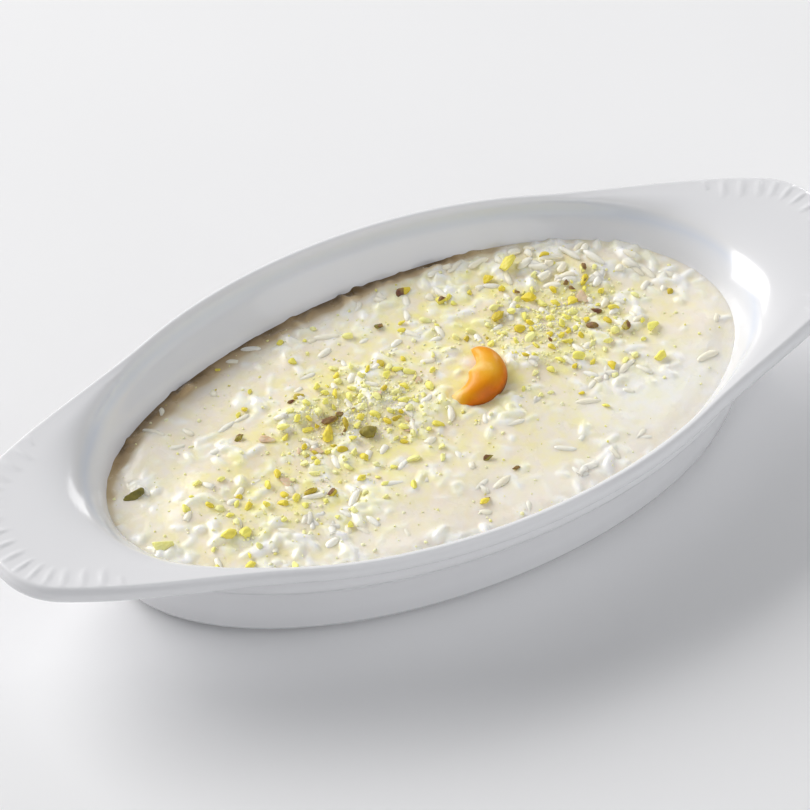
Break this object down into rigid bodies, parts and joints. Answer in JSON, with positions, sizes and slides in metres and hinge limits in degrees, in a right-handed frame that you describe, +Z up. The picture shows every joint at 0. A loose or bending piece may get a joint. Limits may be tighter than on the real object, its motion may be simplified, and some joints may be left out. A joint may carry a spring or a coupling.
{
  "type": "kheer rice pudding in an oval dish",
  "caption": "Shallow oval porcelain dish with two ears, filled with kheer rice pudding that is topped with chopped pistachio and a fried cashew, resting on its foot.",
  "frame": {"origin": "on the surface the dish stands on, under the middle of the dish", "axes": "+X along the dish through one ear, +Y across the dish, +Z up"},
  "size_m": [0.25, 0.115, 0.0343],
  "materials": {
    "porcelain": "white glazed porcelain",
    "kheer": "moist milk pudding with rice grains and green nut crumbs",
    "cashew": "fried golden nut, darker below, with a slight shine"
  },
  "bodies": {
    "root": {"dish": "porcelain", "kheer": "kheer", "cashew": "cashew"}
  },
  "joints": []
}
